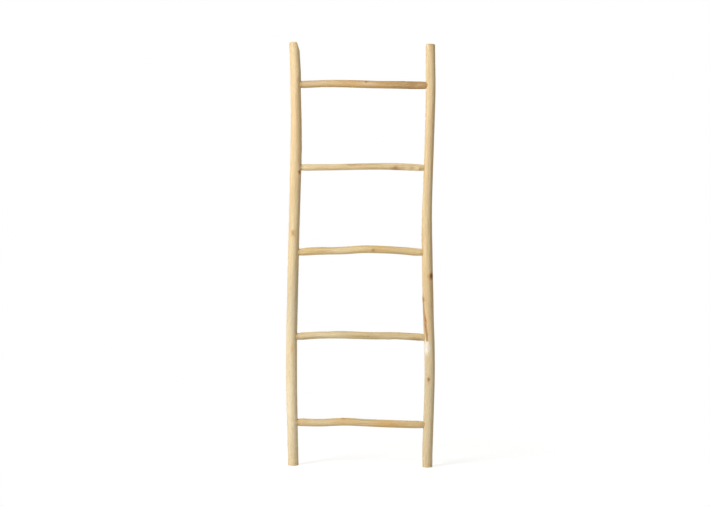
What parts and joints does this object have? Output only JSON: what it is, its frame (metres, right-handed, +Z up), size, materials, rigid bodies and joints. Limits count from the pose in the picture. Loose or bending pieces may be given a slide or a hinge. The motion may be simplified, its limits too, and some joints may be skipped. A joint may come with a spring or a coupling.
{
  "type": "blanket ladder",
  "caption": "Leaning blanket ladder of peeled crooked branches: round rungs tenoned into two upright rails and locked by screws from the wall side.",
  "frame": {"origin": "on the floor, midway between the outermost sides of the two rails and midway between its front and back", "axes": "+X from the left rail to the right rail seen from the room, +Y towards the wall it leans on, +Z up along the rails"},
  "size_m": [0.5312, 0.0466, 1.5],
  "materials": {
    "rail_wood": "peeled, lightly sanded, bare",
    "rung_wood": "peeled, lightly sanded, bare",
    "zinc_screw": "bright zinc plate"
  },
  "bodies": {
    "root": {"rail_left": "rail_wood", "rail_right": "rail_wood", "rung_top": "rung_wood", "rung_upper": "rung_wood", "rung_middle": "rung_wood", "rung_lower": "rung_wood", "rung_bottom": "rung_wood", "screw_top_left": "zinc_screw", "screw_top_right": "zinc_screw", "screw_upper_left": "zinc_screw", "screw_upper_right": "zinc_screw", "screw_middle_left": "zinc_screw", "screw_middle_right": "zinc_screw", "screw_lower_left": "zinc_screw", "screw_lower_right": "zinc_screw", "screw_bottom_left": "zinc_screw", "screw_bottom_right": "zinc_screw"}
  },
  "joints": []
}
